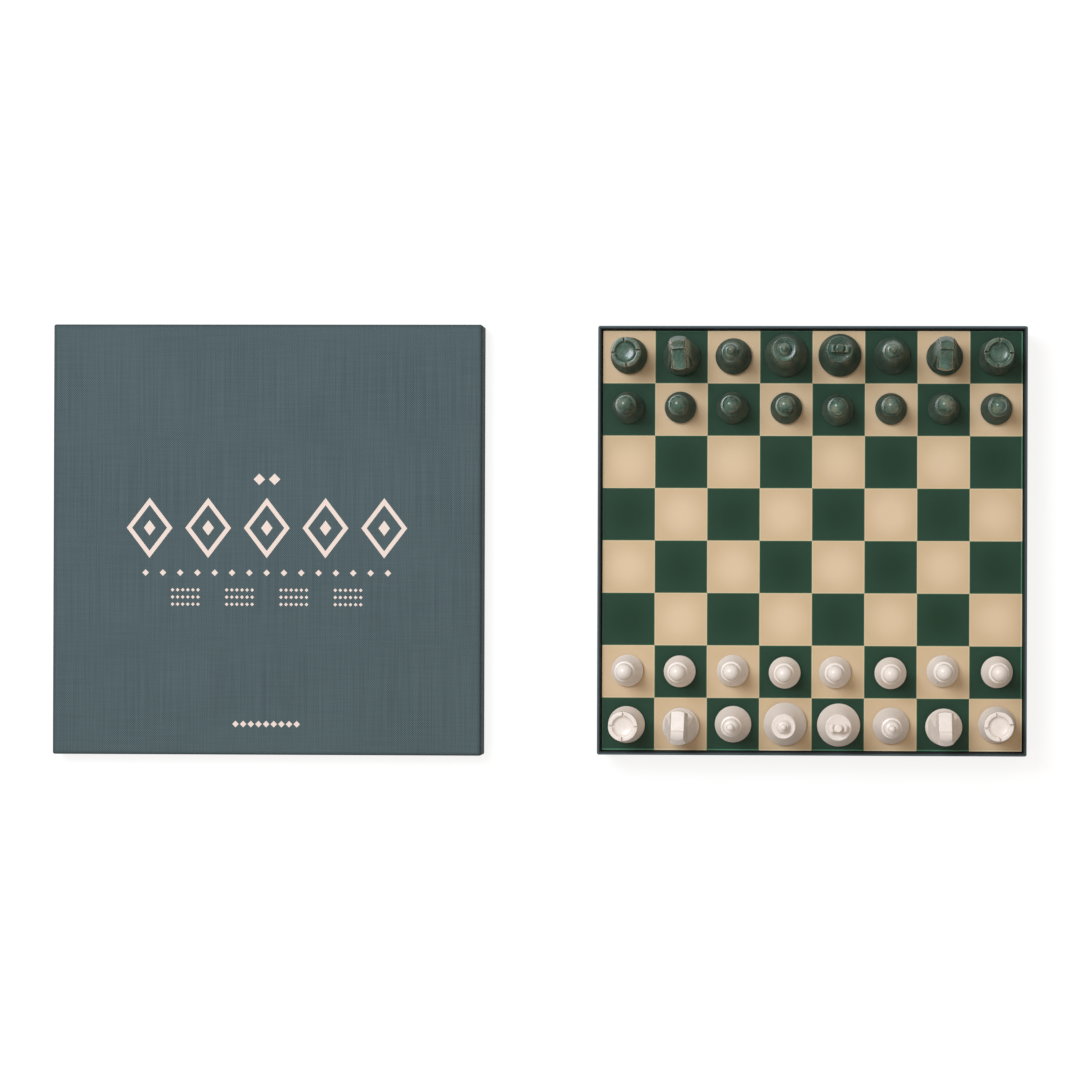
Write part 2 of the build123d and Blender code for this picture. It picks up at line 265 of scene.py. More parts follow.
# the cloth covers also lay this dark paper over their inner rim, as painted shade
lining = paper("lining_paper_dyed", "#24292A", "#333A3A", 0.8 * MM)
ledge_card = paper("ledge_card_wrapped", "#262B2C", "#363C3D", 0.8 * MM)
backing_card = paper("backing_card_pressed", "#2A2E2D", "#3A3F3D", 1.0 * MM)
print("materials:", greyboard.name, lining.name, ledge_card.name, backing_card.name)

# %% [markdown]
# ## The printed squares
#
# The squares are screen-printed ink on paper, seen through a clear sheet. The ink's tone wanders a little at
# random. Over it, light spread through the sheet from the neighbouring squares is painted in: each cream square
# is palest in its middle, each green one deepest there, and where two inks meet a thin paler line is painted.
# Along the two sides away from the lamp a wider pale line is painted too, for light that travels inside the sheet
# and comes out at its edge. A texture picture could hold this, but a few nodes that fold the whole board into one
# square say it for all 64.


# %% Printed squares
low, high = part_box("board_backing")
BOARD = high.x - low.x
SQUARE = BOARD / 8
FOLD_TO_ONE_SQUARE = (("ADD", BOARD / 2), ("DIVIDE", SQUARE), ("FRACT", 0.0), ("SUBTRACT", 0.5), ("ABSOLUTE", 0.0))


def printed_square(name, middle, edge, seam_glow, seam_glow_amount):
    """Screen-printed ink: satin, with painted light: a soft change to each square's edge, paler seams and border.
    """
    material, tree = new_material(name)
    place = add(tree, PLACE, out="Object")
    parts = add(tree, SPLIT, [place], out=None)
    off = []
    for part in parts[:2]:
        for operation, value in FOLD_TO_ONE_SQUARE:
            part = add(tree, MATH, [part, value], operation=operation)
        off.append(part)
    off_middle = add(tree, "ShaderNodeCombineXYZ", off)
    far = add(tree, "ShaderNodeVectorMath", [off_middle], out="Value", operation="LENGTH")
    # painted light: each square's colour moves towards its edge colour, for light spread from its neighbours
    # through the sheet
    painted_spill_to_edge = add(tree, REMAP, [far, 0.08, 0.58, 0.0, 1.0], interpolation_type="SMOOTHSTEP")
    cloudy = add(tree, NOISE, {"Vector": place, "Scale": 22.0, "Detail": 3.0})
    centred = add(tree, MATH, [cloudy, 0.5], operation="SUBTRACT")
    wander_and_spill = add(tree, MATH, [centred, 0.7, painted_spill_to_edge], operation="MULTIPLY_ADD", use_clamp=True)
    # painted light: a wider pale line along the board's two sides away from the lamp, for light leaving the
    # sheet's edge
    from_top = add(tree, MATH, [parts[1], -1.0], operation="MULTIPLY")
    reach = add(tree, MATH, [parts[0], from_top], operation="MAXIMUM")
    painted_edge_glow = add(tree, REMAP, [reach, BOARD / 2 - 1.2 * MM, BOARD / 2 - 0.8 * MM, 0.0, 0.9])
    # painted light: a thin paler line where two squares meet, from the clear sheet above the print
    widest = add(tree, MATH, off, operation="MAXIMUM")
    line = add(tree, REMAP, [widest, 0.5 - 0.9 * MM / SQUARE, 0.5 - 0.3 * MM / SQUARE, 0.0, seam_glow_amount])
    # both painted lights together: the pale seam lines and the pale line along the board's edge
    pale = add(tree, MATH, [line, painted_edge_glow], operation="MAXIMUM")
    colour = coats(tree, linear(middle), (wander_and_spill, edge), (pale, seam_glow))
    shader = add(tree, PRINCIPLED, {"Base Color": colour, "Roughness": 0.6, "IOR": 1.45,
                                    "Specular IOR Level": 0.1})
    add(tree, OUTPUT, [shader], out=None)
    return material


# the edge and seam colours are painted light from the clear sheet; the middle colours are the inks'
cream_ink = printed_square("cream_screen_ink", "#EFD0B4", "#E0C0A0", "#FBE2C0", 0.5)
green_ink = printed_square("green_screen_ink", "#1D3F2F", "#28483A", "#5C9478", 0.30)
print("squares are", round(SQUARE / MM, 2), "mm")

# %% [markdown]
# ## Clear sheet
#
# A cast acrylic sheet covers the print. Full refraction would be truest, but a path tracer then needs many
# samples to light what lies under it. The sheet is thin and seen from above, so it is clear straight through,
# with only the surface reflection of acrylic: a Fresnel mix for its index of 1.49, on the outer side of each
# face, because from inside the same mix would turn slanting light back and leave the print in the dark.


# %% Clear sheet
def acrylic():
    """Polished clear acrylic: no colour face on, a sharp faint reflection, and a few specks of dust."""
    material, tree = new_material("acrylic_cast_polished")
    place = add(tree, PLACE, out="Object")
    inner_face = add(tree, "ShaderNodeNewGeometry", out="Backfacing")
    outer_face = add(tree, MATH, [1.0, inner_face], operation="SUBTRACT")
    fresnel = add(tree, MATH, [add(tree, "ShaderNodeFresnel", {"IOR": 1.49}), outer_face], operation="MULTIPLY")
    see_through = add(tree, "ShaderNodeBsdfTransparent", {"Color": linear("#FBFDFB")})
    gloss = add(tree, "ShaderNodeBsdfGlossy", {"Color": linear("#FFFFFF"), "Roughness": 0.08})
    clear = add(tree, "ShaderNodeMixShader", [fresnel, see_through, gloss])
    spots = add(tree, "ShaderNodeTexVoronoi", {"Vector": place, "Scale": 34.0}, out=None, feature="F1")
    lot = add(tree, "ShaderNodeSeparateColor", [spots["Color"]])
    chosen = add(tree, MATH, [lot, 0.80], operation="GREATER_THAN")
    near = add(tree, REMAP, [spots["Distance"], 0.006, 0.016, 0.5, 0.0])
    dust = add(tree, MATH, [chosen, near], operation="MULTIPLY")
    speck = add(tree, "ShaderNodeBsdfDiffuse", {"Color": linear("#B9BDB4")})
    add(tree, OUTPUT, [add(tree, "ShaderNodeMixShader", [dust, clear, speck])], out=None)
    return material


clear_sheet = acrylic()
print("material:", clear_sheet.name)

# %% [markdown]
# ## Painted wood
#
# The pieces are turned from beech, painted with a thin satin paint and rubbed back. Paint wears first on edges
# that stand out and gathers in grooves, and the grooves are painted darker as shade too, so both places need to
# be known. Cycles has a pointiness input for that, but it doesn't survive an export. Here each mesh carries its
# own number instead, the attribute "edge": above nought where the surface is an edge, below nought where it is a
# groove. Fingers polish the upper half of a piece, so the paint is glossy there and dull towards the foot. Its
# colour is painted paler towards the top as well: painted light, for the tops that face the lamp.


# %% Painted wood
BOARD_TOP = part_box("board_clear_sheet")[1].z
DULL_BELOW, GLOSSY_ABOVE = BOARD_TOP + 14 * MM, BOARD_TOP + 28 * MM
FOOT_ROUGHNESS = 0.60


def painted_wood(name, thin, thick, bare, groove_and_shade, wear, gloss, brown_patches, chalk):
    """Satin paint on turned beech: brushed light and dark, brown in patches, worn edges, painted light and shade.
    """
    material, tree = new_material(name)
    place = add(tree, PLACE, out="Object")
    edge = add(tree, "ShaderNodeAttribute", out="Fac", attribute_name="edge")
    height = add(tree, SPLIT, [place], out=2)
    polished_and_lit_top = add(tree, REMAP, [height, DULL_BELOW, GLOSSY_ABOVE, 0.0, 1.0])
    cloudy = add(tree, NOISE, {"Vector": place, "Scale": 90.0, "Detail": 5.0, "Roughness": 0.6})
    soft = add(tree, REMAP, [cloudy, 0.30, 0.70, 0.0, 1.0])
    # painted light: the paler thin colour grows towards the top, for tops that face the lamp
    painted_top_light = add(tree, MATH, [polished_and_lit_top, 0.6, 0.4], operation="MULTIPLY_ADD")
    thin_paint_and_top_light = add(tree, MATH, [soft, painted_top_light], operation="MULTIPLY")
    lines = add(tree, "ShaderNodeMapping", {"Vector": place, "Scale": (60.0, 60.0, 1400.0)})
    turning = add(tree, NOISE, {"Vector": lines, "Scale": 1.0, "Detail": 3.0})
    brushed = add(tree, REMAP, [turning, 0.35, 0.75, 0.0, 0.30])
    # broad brownish patches over the paint
    patch_colour, patch_amount = brown_patches
    broad = add(tree, NOISE, {"Vector": place, "Scale": 110.0, "Detail": 4.0})
    brown_patchy = add(tree, REMAP, [broad, 0.48, 0.66, 0.0, patch_amount])
    grit = add(tree, NOISE, {"Vector": place, "Scale": 900.0, "Detail": 2.0})
    dusted = add(tree, REMAP, [grit, 0.50, 0.70, 0.0, 0.28])
    chalky = add(tree, MATH, [dusted, polished_and_lit_top], operation="MULTIPLY")
    # grooves darker: paint gathered there, and painted shade under collars, necks and balls
    groove_paint_and_shade = add(tree, REMAP, [edge, -0.02, -0.16, 0.0, 0.65])
    uneven = add(tree, MATH, [cloudy, 0.5], operation="SUBTRACT")
    ragged = add(tree, MATH, [uneven, 0.45, edge], operation="MULTIPLY_ADD")
    rubbed = add(tree, REMAP, [ragged, 0.06, 0.22, 0.0, wear])
    colour = coats(tree, linear(thick), (thin_paint_and_top_light, thin), (brushed, thick), (brown_patchy, patch_colour), (chalky, chalk),
                   (groove_paint_and_shade, groove_and_shade), (rubbed, bare))
    dull = add(tree, MATH, [polished_and_lit_top, gloss - FOOT_ROUGHNESS, FOOT_ROUGHNESS], operation="MULTIPLY_ADD")
    roughness = add(tree, MATH, [cloudy, 0.16, dull], operation="MULTIPLY_ADD")
    relief = add(tree, MATH, [turning, cloudy], operation="ADD")
    bump = add(tree, BUMP, {"Height": relief, "Strength": 0.10, "Distance": 0.10 * MM})
    shader = add(tree, PRINCIPLED, {"Base Color": colour, "Roughness": roughness, "Normal": bump, "IOR": 1.5})
    add(tree, OUTPUT, [shader], out=None)
    return material


# the thin colour is both the thin paint's and the painted light on the tops; the groove colour is also painted
# shade
green_paint = painted_wood("green_paint_on_beech", thin="#5B8070", thick="#24392F", bare="#9A8468",
                           groove_and_shade="#1A1F19", wear=0.65, gloss=0.12, brown_patches=("#5E5946", 0.34), chalk="#8AA094")
cream_paint = painted_wood("cream_paint_on_beech", thin="#F2EAE3", thick="#EAE1D9", bare="#F4EDE5",
                           groove_and_shade="#D4C2B3", wear=0.40, gloss=0.18, brown_patches=("#E3D4C6", 0.20), chalk="#F6F0E9")
print("materials:", green_paint.name, cream_paint.name)

# %% [markdown]
# ## Give the CAD pieces their finishes
#
# Boards, paper, ledge, dividers and squares are flat, cut stock: the solids already are what the real pieces
# are, so they stay, and only their materials are new.

# %% Finishes on the CAD pieces
finishes = {
    "tray_floor_board": greyboard, "tray_walls": greyboard, "lid_top_board": greyboard, "lid_walls": greyboard,
    "tray_lining": lining, "lid_lining": lining,
    "ledge_frame": ledge_card, "divider_long": ledge_card, "divider_cross": ledge_card,
    "board_backing": backing_card, "light_squares": cream_ink, "dark_squares": green_ink,
}
for name, finish in finishes.items():
    node = frame["nodes"][name]
    node.data.materials.clear()
    node.data.materials.append(finish)
print("finished", len(finishes), "CAD pieces")

# %% [markdown]
# ## The clear sheet's shape
#
# The sheet touches the print, and two faces in one place flicker in a render. So this piece is the CAD's sheet
# with its underside raised by the thickness of a hair, and its sawn edges flame-polished: a bevel of a few
# segments rounds them.

# %% Clear sheet
HAIR = 0.05 * MM
low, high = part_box("board_clear_sheet")
work = box_between(low + Vector((0, 0, HAIR)), high)
top_edges = [edge for edge in work.edges if min(v.co.z for v in edge.verts) > (low.z + high.z) / 2]
bmesh.ops.bevel(work, geom=top_edges, offset=0.5 * MM, segments=3, profile=0.5, affect="EDGES")
sheet = as_object("clear_sheet", as_mesh("clear_sheet", work))
sheet.data.materials.append(clear_sheet)
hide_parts("board_clear_sheet")
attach(sheet, "board")
print("clear sheet:", len(sheet.data.polygons), "faces")

# %% [markdown]
# ## The cloth covers
#
# One sheet of cloth wraps each half of the box: under the closed face, up the walls, over the open edge and a
# little way down inside. The CAD has it as five flat panels. Here it is one skin with no joints: rounded squares
# of the same number of points, each a little smaller or higher than the last, joined ring to ring. The covering
# pulls in very slightly between its glued corners, which a little smooth noise gives. Dark lining paper, painted
# shade, covers the inner half of the rim and the turned-in cloth, so the gap round the board reads as one dark
# line.


# %% Rings of a rounded square
SIDE_STEPS = 28
CORNER_STEPS = 6
RING = 4 * (SIDE_STEPS + CORNER_STEPS)


def rounded_square(half, radius, z):
    """The points of one ring, anticlockwise."""
    ring = []
    straight = half - radius
    for turn in range(4):
        rotate = Matrix.Rotation(turn * math.pi / 2, 3, "Z")
        for i in range(SIDE_STEPS):
            ring.append(rotate @ Vector((half, -straight + 2 * straight * i / SIDE_STEPS, z)))
        for i in range(CORNER_STEPS):
            angle = math.pi / 2 * i / CORNER_STEPS
            ring.append(rotate @ Vector((straight + radius * math.cos(angle),
                                         straight + radius * math.sin(angle), z)))
    return ring


def skin(rings):
    """A closed bmesh through the rings, with a face over the first and the last."""
    work = bmesh.new()
    loops = [[work.verts.new(point) for point in ring] for ring in rings]
    for lower, upper in zip(loops, loops[1:]):
        for i in range(RING):
            j = (i + 1) % RING
            work.faces.new((lower[i], lower[j], upper[j], upper[i]))
    work.faces.new(list(reversed(loops[0])))
    work.faces.new(loops[-1])
    bmesh.ops.recalc_face_normals(work, faces=work.faces)
    return work


def quarter(centre_inset, centre_z, radius, first, last, steps=5):
    """Inset and height of points on a small arc of the cover's outline, in degrees from outwards."""
    angles = [math.radians(first + (last - first) * i / steps) for i in range(steps + 1)]
    return [(centre_inset - radius * math.cos(a), centre_z + radius * math.sin(a)) for a in angles]


print("one ring has", RING, "points")


# %% Outline of a cover
CLOTH = 0.4 * MM          # how thick the cloth is
WALL = 2.5 * MM           # how thick a covered wall is
CORNER = 1.6 * MM         # the upright corners' radius
FOLD = 1.9 * MM           # the radius where cloth folds over the closed face
RIM = 1.25 * MM           # the open edge's outer radius
INNER_RIM = 0.4 * MM      # and its inner one
# the dark paper from here on is painted shade, which widens the dark gap round the board
SHADE_PAPER_INSET = 1.5 * MM         # where the black paper starts on the rim
TURN_IN = 14.0 * MM       # how far cloth and paper go down inside


def cover_outline(height):
    """Inset and height along the cloth: from under the middle, out, up, over the edge, down inside and back.

    The run over the inner half of the edge and down inside gets dark paper as painted shade, and its first and
    last ring are returned.
    """
    inside = [(0.160, 0), (0.120, 0), (0.080, 0), (0.040, 0), (0.012, 0), (FOLD + 1.5 * MM, 0)]
    fold = quarter(FOLD, FOLD, FOLD, -90, 0)
    wall = [(0, 0.25 * height), (0, 0.5 * height), (0, 0.75 * height)]
    over = quarter(RIM, height - RIM, RIM, 0, 90)
    inner = quarter(WALL - INNER_RIM, height - INNER_RIM, INNER_RIM, 90, 180)
    down = [(WALL, height - TURN_IN / 2), (WALL, height - TURN_IN)]
    outer = inside + fold + wall + over
    shade_paper_run = [(SHADE_PAPER_INSET, height)] + inner + down
    back = [(WALL - CLOTH, height - TURN_IN), (WALL - CLOTH, height - CLOTH), (CLOTH, height - CLOTH),
            (CLOTH, FOLD), (FOLD, CLOTH), (0.020, CLOTH), (0.160, CLOTH)]
    return outer + shade_paper_run + back, len(outer), len(outer) + len(shade_paper_run) - 1


print("a cover has", len(cover_outline(0.04)[0]), "rings")

# %% Cloth covers
# how much painted shade each ring of a cover gets, along its folds and on its rim's outer side
FOLD_SHADE = {6: 0.25, 7: 0.4, 8: 0.6, 9: 0.8, 10: 1.0, 11: 0.9, 15: 0.9, 16: 0.5, 17: 0.15}  # ring: how dark
PULL = 0.10 * MM          # how far a wall's cloth can draw in
GLUED = 4.0 * MM          # this far from its edges it is held flat


def cloth_cover(name, width, height, place):
    """The cover of one half of the box, opening upwards before it is put in place."""
    outline, shade_paper_from, shade_paper_to = cover_outline(height)
    work = skin([rounded_square(width / 2 - inset, max(CORNER - inset, 0.15 * MM), z) for inset, z in outline])
    # faces from the rim's inner half on get the dark lining paper: painted shade
    for number, face in enumerate(work.faces):
        face.material_index = int(shade_paper_from <= number // RING < shade_paper_to)
    # each ring's painted shade goes into the attribute fold, which the cloth darkens by
    fold = work.verts.layers.float.new("fold")
    outside = width / 2 - 0.2 * MM
    for number, vertex in enumerate(work.verts):
        vertex[fold] = FOLD_SHADE.get(number // RING, 0.0)
        pull = PULL * (0.5 + 0.5 * noise.noise(vertex.co * 22.0))
        if GLUED < vertex.co.z < height - GLUED:
            for i in (0, 1):
                if abs(vertex.co[i]) > outside:
                    vertex.co[i] -= math.copysign(pull, vertex.co[i])
    work.transform(place)
    flat = work.loops.layers.uv.new("cloth")
    for face in work.faces:
        axis = max(range(3), key=lambda i: abs(face.normal[i]))
        across, up = [(1, 2), (0, 2), (0, 1)][axis]
        for loop in face.loops:
            loop[flat].uv = (loop.vert.co[across], loop.vert.co[up])
    cover = as_object(name, as_mesh(name, work))
    cover.data.shade_smooth()
    cover.data.materials.append(cloth)
    cover.data.materials.append(lining)
    return cover


tray_low, tray_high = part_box("tray_cloth")
lid_low, lid_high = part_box("lid_cloth")
lid_middle = (lid_low + lid_high) / 2
lid_place = Matrix.Translation((lid_middle.x, lid_middle.y, lid_high.z)) @ Matrix.Rotation(math.pi, 4, "X")
tray_cover = cloth_cover("tray_cover", tray_high.x - tray_low.x, tray_high.z, Matrix.Identity(4))
lid_cover = cloth_cover("lid_cover", lid_high.x - lid_low.x, lid_high.z, lid_place)
for cover, node, body in ((tray_cover, "tray_cloth", "tray"), (lid_cover, "lid_cloth", "lid")):
    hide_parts(node)
    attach(cover, body)
    print(cover.name, len(cover.data.polygons), "faces")

# %% [markdown]
# ## The ornament on the lid
#
# The lid carries a plain ornament in pale pink ink: five open lozenges over rows of small ones. It could be a
# colour in the cloth's material, but ink printed on cloth lies on top of the threads, so it is a very thin
# raised layer. Its motifs repeat in rows, which is what Geometry Nodes is for: a grid of points with a motif
# put on each, and the same tree for every row.


# %% A tree of nodes that lays rows of motifs
def new_tree(name, inputs):
    """A Geometry Nodes tree with named inputs, each given as its socket type."""
    tree = bpy.data.node_groups.new(name, "GeometryNodeTree")
    tree.interface.new_socket("Geometry", in_out="INPUT", socket_type="NodeSocketGeometry")
    for label, kind in inputs.items():
        tree.interface.new_socket(label, in_out="INPUT", socket_type=kind)
    tree.interface.new_socket("Geometry", in_out="OUTPUT", socket_type="NodeSocketGeometry")
    return tree, add(tree, "NodeGroupInput", out=None)


def motif_tree():
    """A motif on every point of a grid of columns and rows."""
    tree, given = new_tree("motif_rows", {
        "Columns": "NodeSocketInt", "Rows": "NodeSocketInt", "Width": "NodeSocketFloat",
        "Height": "NodeSocketFloat", "Motif": "NodeSocketObject", "Ink": "NodeSocketMaterial"})
    grid = add(tree, "GeometryNodeMeshGrid", {"Size X": given["Width"], "Size Y": given["Height"],
                                              "Vertices X": given["Columns"], "Vertices Y": given["Rows"]})
    motif = add(tree, "GeometryNodeObjectInfo", {"Object": given["Motif"]}, out="Geometry")
    rows = add(tree, "GeometryNodeInstanceOnPoints", {"Points": grid, "Instance": motif})
    real = add(tree, "GeometryNodeRealizeInstances", [rows])
    inked = add(tree, "GeometryNodeSetMaterial", {0: real, "Material": given["Ink"]})
    add(tree, "NodeGroupOutput", [inked], out=None)
    return tree


def made_by(tree, name, values):
    """The plain mesh that a tree makes from these values."""
    holder = as_object(name + "_holder", bpy.data.meshes.new(name + "_empty"))
    modifier = holder.modifiers.new("nodes", "NODES")
    modifier.node_group = tree
    for item in tree.interface.items_tree:
        if item.name in values:
            modifier[item.identifier] = values[item.name]
    mesh = after_modifiers(holder)
    mesh.name = name
    return mesh


motif_rows = motif_tree()
print("tree:", motif_rows.name)


# %% Printing ink
def printing_ink():
    """Opaque pale pink ink pressed on cloth: matte, with the weave just showing through."""
    material, tree = new_material("pale_pink_ink_on_cloth")
    weave = woven(tree, add(tree, PLACE, out="Object"))
    bump = add(tree, BUMP, {"Height": weave, "Strength": 0.25, "Distance": 0.1 * MM})
    shader = add(tree, PRINCIPLED, {"Base Color": coats(tree, linear("#E4D2C8"), (weave, "#F1E2D9")),
                                    "Roughness": 0.6, "Normal": bump, "IOR": 1.45})
    add(tree, OUTPUT, [shader], out=None)
    return material


ink = printing_ink()
print("material:", ink.name)


# %% Motifs
INK_DEPTH = 0.06 * MM


def raised_by(work, faces, step):
    """Extrudes faces of a bmesh by a step, and turns all its faces outwards."""
    moved = bmesh.ops.extrude_face_region(work, geom=faces)["geom"]
    bmesh.ops.translate(work, vec=step, verts=[item for item in moved if isinstance(item, bmesh.types.BMVert)])
    bmesh.ops.recalc_face_normals(work, faces=work.faces)


def lozenge(name, width, height, stroke=0.0):
    """A lozenge as a thin plate, filled, or open with its line as wide as the stroke."""
    work = bmesh.new()
    corners = [(width / 2, 0), (0, height / 2), (-width / 2, 0), (0, -height / 2)]
    outside = [work.verts.new((x * MM, y * MM, 0)) for x, y in corners]
    if stroke:
        hole = 1 - 2 * stroke * math.hypot(width, height) / (width * height)
        inside = [work.verts.new((x * hole * MM, y * hole * MM, 0)) for x, y in corners]
        for i in range(4):
            work.faces.new((outside[i - 1], outside[i], inside[i], inside[i - 1]))
    else:
        work.faces.new(outside)
    raised_by(work, work.faces[:], (0, 0, INK_DEPTH))
    return as_object(name, as_mesh(name, work))


motifs = {"open": lozenge("open_lozenge", 36, 47, 3.4), "heart": lozenge("heart_lozenge", 9, 12),
          "small": lozenge("small_lozenge", 5.2, 5.2), "fine": lozenge("fine_lozenge", 2.9, 2.9),
          "crest": lozenge("crest_lozenge", 9, 9)}
print("motifs:", ", ".join(motifs))

# %% Ornament
layout = [  # motif, columns, rows, width, height, middle
    ("open", 5, 1, 184, 0, (0, 9)), ("heart", 5, 1, 184, 0, (0, 9)), ("crest", 2, 1, 12, 0, (0, 47)),
    ("small", 15, 1, 190, 0, (0, -26)), ("small", 9, 1, 48, 0, (0, -144)),
    *[("fine", 6, 3, 20, 11.2, (x, -45)) for x in (-63.8, -21.3, 21.3, 63.8)]]
work = bmesh.new()
for motif, columns, rows, width, height, (x, y) in layout:
    part = made_by(motif_rows, "motif_part", {"Columns": columns, "Rows": rows, "Width": width * MM,
                                              "Height": height * MM, "Motif": motifs[motif], "Ink": ink})
    part.transform(Matrix.Translation((x * MM, y * MM, 0)))
    work.from_mesh(part)
for motif in motifs.values():
    bpy.data.objects.remove(motif)
work.transform(Matrix.Translation((lid_middle.x, lid_middle.y, lid_high.z - INK_DEPTH / 6)))
ornament = as_object("lid_ornament", as_mesh("lid_ornament", work))
ornament.data.materials.append(ink)
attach(ornament, "lid")
print("ornament:", len(ornament.data.polygons), "faces")

# %% [markdown]
# ## Turned pieces
#
# A wood turner shapes each piece by cutting an outline into a spinning blank. So each is made that way: an
# outline of radius and height, and one Geometry Nodes tree that spins it. The Spin tool or a Screw modifier
# would also do. The tree is kept because all pieces share it, and the number of facets is one input. The outline
# is a curve object, and every one of its points becomes a ring, so sharp collars keep their edges.


# %% A tree of nodes that turns an outline
def lathe_tree():
    """A surface of revolution from a curve drawn in the XZ plane."""
    tree, given = new_tree("lathe", {"Outline": "NodeSocketObject", "Facets": "NodeSocketInt"})
    outline = add(tree, "GeometryNodeObjectInfo", {"Object": given["Outline"]}, out="Geometry")
    points = add(tree, "GeometryNodeCurveToPoints", [outline], mode="EVALUATED")
    rings = add(tree, "GeometryNodeAttributeDomainSize", [points], out="Point Count", component="POINTCLOUD")
    columns = add(tree, MATH, [given["Facets"], 1.0], operation="ADD")
    grid = add(tree, "GeometryNodeMeshGrid", {"Size X": 1.0, "Size Y": 1.0, "Vertices X": columns,
                                              "Vertices Y": rings})
    where = add(tree, "GeometryNodeInputPosition")
    parts = add(tree, SPLIT, [where], out=None)
    along, up = [add(tree, MATH, [parts[i], 0.5], operation="ADD") for i in (0, 1)]
    angle = add(tree, MATH, [along, math.tau], operation="MULTIPLY")
    last = add(tree, MATH, [rings, 1.0], operation="SUBTRACT")
    between = add(tree, MATH, [up, last], operation="MULTIPLY")
    ring = add(tree, MATH, [between], operation="ROUND")
    picked = add(tree, "GeometryNodeSampleIndex", {"Geometry": points, "Value": where, "Index": ring},
                 data_type="FLOAT_VECTOR", domain="POINT")
    at = add(tree, SPLIT, [picked], out=None)
    x, y = [add(tree, MATH, [at[0], add(tree, MATH, [angle], operation=wave)], operation="MULTIPLY")
            for wave in ("COSINE", "SINE")]
    spot = add(tree, "ShaderNodeCombineXYZ", [x, y, at[2]])
    spun = add(tree, "GeometryNodeSetPosition", {0: grid, "Position": spot})
    closed = add(tree, "GeometryNodeMergeByDistance", {0: spun, "Distance": 0.002 * MM})
    add(tree, "NodeGroupOutput", [closed], out=None)
    return tree


lathe = lathe_tree()
print("tree:", lathe.name)


# %% Outlines
SANDED = 0.25             # mm cut off a corner by sanding
CORNER_ANGLE = 0.25       # a turn of less than this, in radians, is no corner


def through_three(start, middle, end, step=0.7):
    """Points on the circle through three points, after the first."""
    ax, ay = start
    bx, by = middle
    cx, cy = end
    double_area = 2 * (ax * (by - cy) + bx * (cy - ay) + cx * (ay - by))
    a2, b2, c2 = ax * ax + ay * ay, bx * bx + by * by, cx * cx + cy * cy
    ux = (a2 * (by - cy) + b2 * (cy - ay) + c2 * (ay - by)) / double_area
    uy = (a2 * (cx - bx) + b2 * (ax - cx) + c2 * (bx - ax)) / double_area
    first, mid, last = [math.atan2(y - uy, x - ux) for x, y in (start, middle, end)]
    sweep = (last - first) % math.tau
    if (mid - first) % math.tau > sweep:
        sweep -= math.tau
    radius = math.hypot(ax - ux, ay - uy)
    count = max(4, math.ceil(abs(sweep) * radius / step), math.ceil(abs(sweep) / 0.2))
    turns = [first + sweep * i / count for i in range(1, count + 1)]
    return [(ux + radius * math.cos(turn), uy + radius * math.sin(turn)) for turn in turns]


def outline_points(steps):
    """Radius and height of every point, in millimetres. A step of two points is an arc."""
    points = [(0.0, 0.0)]
    for step in steps:
        if isinstance(step[0], tuple):
            points += through_three(points[-1], *step)
        else:
            points.append(step)
    return points


def soften(points):
    """The same outline with its sharp corners sanded round."""
    soft = [points[0]]
    for before, here, after in zip(points, points[1:], points[2:]):
        a, b, c = Vector(before), Vector(here), Vector(after)
        into, out = b - a, c - b
        if into.angle(out, 0.0) < CORNER_ANGLE:
            soft.append(here)
            continue
        near = b - into.normalized() * min(SANDED, 0.4 * into.length)
        far = b + out.normalized() * min(SANDED, 0.4 * out.length)
        for i in range(5):
            t = i / 4
            soft.append(tuple(near * (1 - t) ** 2 + b * 2 * t * (1 - t) + far * t ** 2))
    return soft + [points[-1]]


def turned(name, steps, facets=96):
    """The mesh of a turned piece that stands on the origin, from a curve with a point for each ring."""
    points = soften(outline_points(steps))
    curve = bpy.data.curves.new(name + "_outline", "CURVE")
    curve.dimensions = "3D"
    spline = curve.splines.new("POLY")
    spline.points.add(len(points) - 1)
    for spot, (radius, height) in zip(spline.points, points):
        spot.co = (max(radius, 0.0) * MM, 0.0, height * MM, 1.0)
    outline = as_object(name + "_outline", curve)
    mesh = made_by(lathe, name, {"Outline": outline, "Facets": facets})
    bpy.data.objects.remove(outline)
    mesh.shade_smooth()
    return mesh


def foot(radius, edge=0.7):
    """The underside and the rounded edge that every piece starts with."""
    bite = 0.29 * edge
    return [(radius - edge, 0), ((radius - bite, bite), (radius, edge))]


def ball(radius, middle, seat):
    """The steps from where a ball joins the piece, at radius seat, over the ball to its top."""
    low = middle - math.sqrt(radius ** 2 - seat ** 2)
    return [(seat, low), ((radius, middle), (0, middle + radius))]


print("outline tools ready")

# %% [markdown]
# ## Pawn, bishop, queen and king
#
# The pawn is a cone, a thin collar and a ball. The bishop's cone is taller and ends in a pointed dome with a
# small ball. Queen and king are broad cones under a collar, and each has a dished crown: the queen's holds a dome
# with a ball, the king's a cross.

